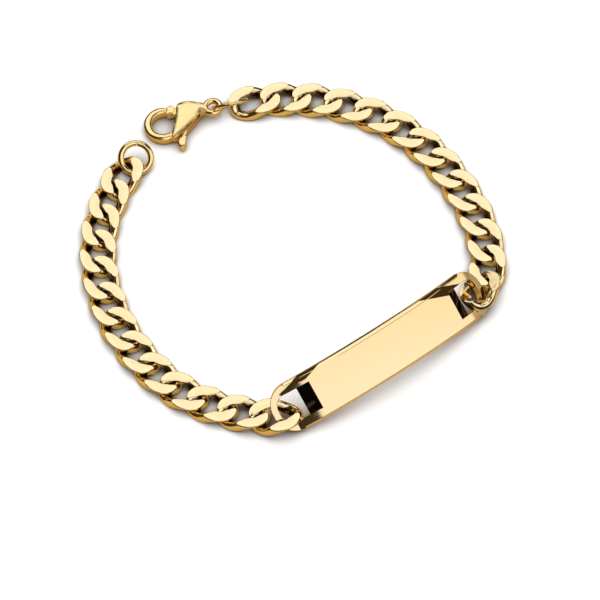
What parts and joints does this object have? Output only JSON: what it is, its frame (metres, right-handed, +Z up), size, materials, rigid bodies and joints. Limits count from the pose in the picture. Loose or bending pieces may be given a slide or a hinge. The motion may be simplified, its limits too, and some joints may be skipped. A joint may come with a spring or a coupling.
{
  "type": "bracelet",
  "caption": "Identity bracelet: a curved blank plate slotted between two arms of flat-ground curb chain, with an end ring and a sprung lobster clasp, lying open on a table",
  "frame": {"origin": "Middle of the laid-out bracelet's outline seen from above, on the table it lies on.", "axes": "+Z is up from the table. +X runs to the right of the picture and +Y away from the viewer, so the plate lies at the right, nearest the viewer, and the clasp at the far left."},
  "size_m": [0.0756, 0.0756, 0.0092],
  "materials": {
    "gold_plate": "mirror-polished gold plating on steel",
    "gold_chain": "polished gold plating on steel, with ground flats",
    "gold_clasp": "polished gold plating on steel"
  },
  "bodies": {
    "bracelet": {"id_plate": "gold_plate", "end_ring": "gold_chain", "clasp_ring": "gold_clasp", "clasp_body": "gold_clasp", "link_l01": "gold_chain", "link_l02": "gold_chain", "link_l03": "gold_chain", "link_l04": "gold_chain", "link_l05": "gold_chain", "link_l06": "gold_chain", "link_l07": "gold_chain", "link_l08": "gold_chain", "link_l09": "gold_chain", "link_l10": "gold_chain", "link_l11": "gold_chain", "link_l12": "gold_chain", "link_l13": "gold_chain", "link_r01": "gold_chain", "link_r02": "gold_chain", "link_r03": "gold_chain", "link_r04": "gold_chain", "link_r05": "gold_chain", "link_r06": "gold_chain", "link_r07": "gold_chain", "link_r08": "gold_chain", "link_r09": "gold_chain", "link_r10": "gold_chain", "link_r11": "gold_chain", "link_r12": "gold_chain", "link_r13": "gold_chain"},
    "lever": {"clasp_lever": "gold_clasp"}
  },
  "joints": [
    {"name": "clasp_lever_hinge", "type": "hinge", "parent": "bracelet", "child": "lever", "pos_m": [-0.01966, 0.03129, 0.00157], "axis": [-0.0824, -0.0333, 0.996], "range_deg": [0, 20], "stiffness_Nm_per_rad": 0.05, "springref_deg": -20.05}
  ]
}
